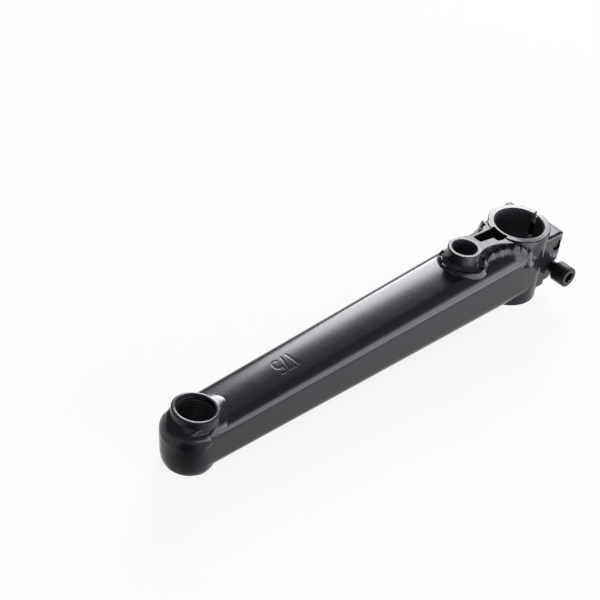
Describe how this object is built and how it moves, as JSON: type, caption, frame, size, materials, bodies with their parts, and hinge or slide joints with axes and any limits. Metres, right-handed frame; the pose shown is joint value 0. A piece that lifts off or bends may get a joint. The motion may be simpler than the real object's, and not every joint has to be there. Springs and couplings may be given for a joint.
{
  "type": "bicycle crank arm",
  "caption": "Tapered tubular crank arm with a split clamp for a splined spindle at one end, a threaded sprocket boss beside it and a threaded pedal boss at the other end.",
  "frame": {"origin": "middle of the spindle bore", "axes": "+Z along the spindle bore to the arm's inner side, +X from the pedal end to the spindle end"},
  "size_m": [0.2039, 0.0362, 0.0335],
  "materials": {
    "black_paint": "gloss black paint on steel",
    "weld_paint": "gloss black paint over rippled weld",
    "screw_steel": "black oxide"
  },
  "bodies": {
    "root": {"arm_tube": "black_paint", "spindle_lug": "black_paint", "pedal_boss": "black_paint", "weld_lug_inner": "weld_paint", "weld_clamp_outer": "weld_paint", "weld_pedal_inner": "weld_paint", "weld_pedal_outer": "weld_paint", "clamp_screw_near": "screw_steel", "clamp_screw_far": "screw_steel"}
  },
  "joints": []
}
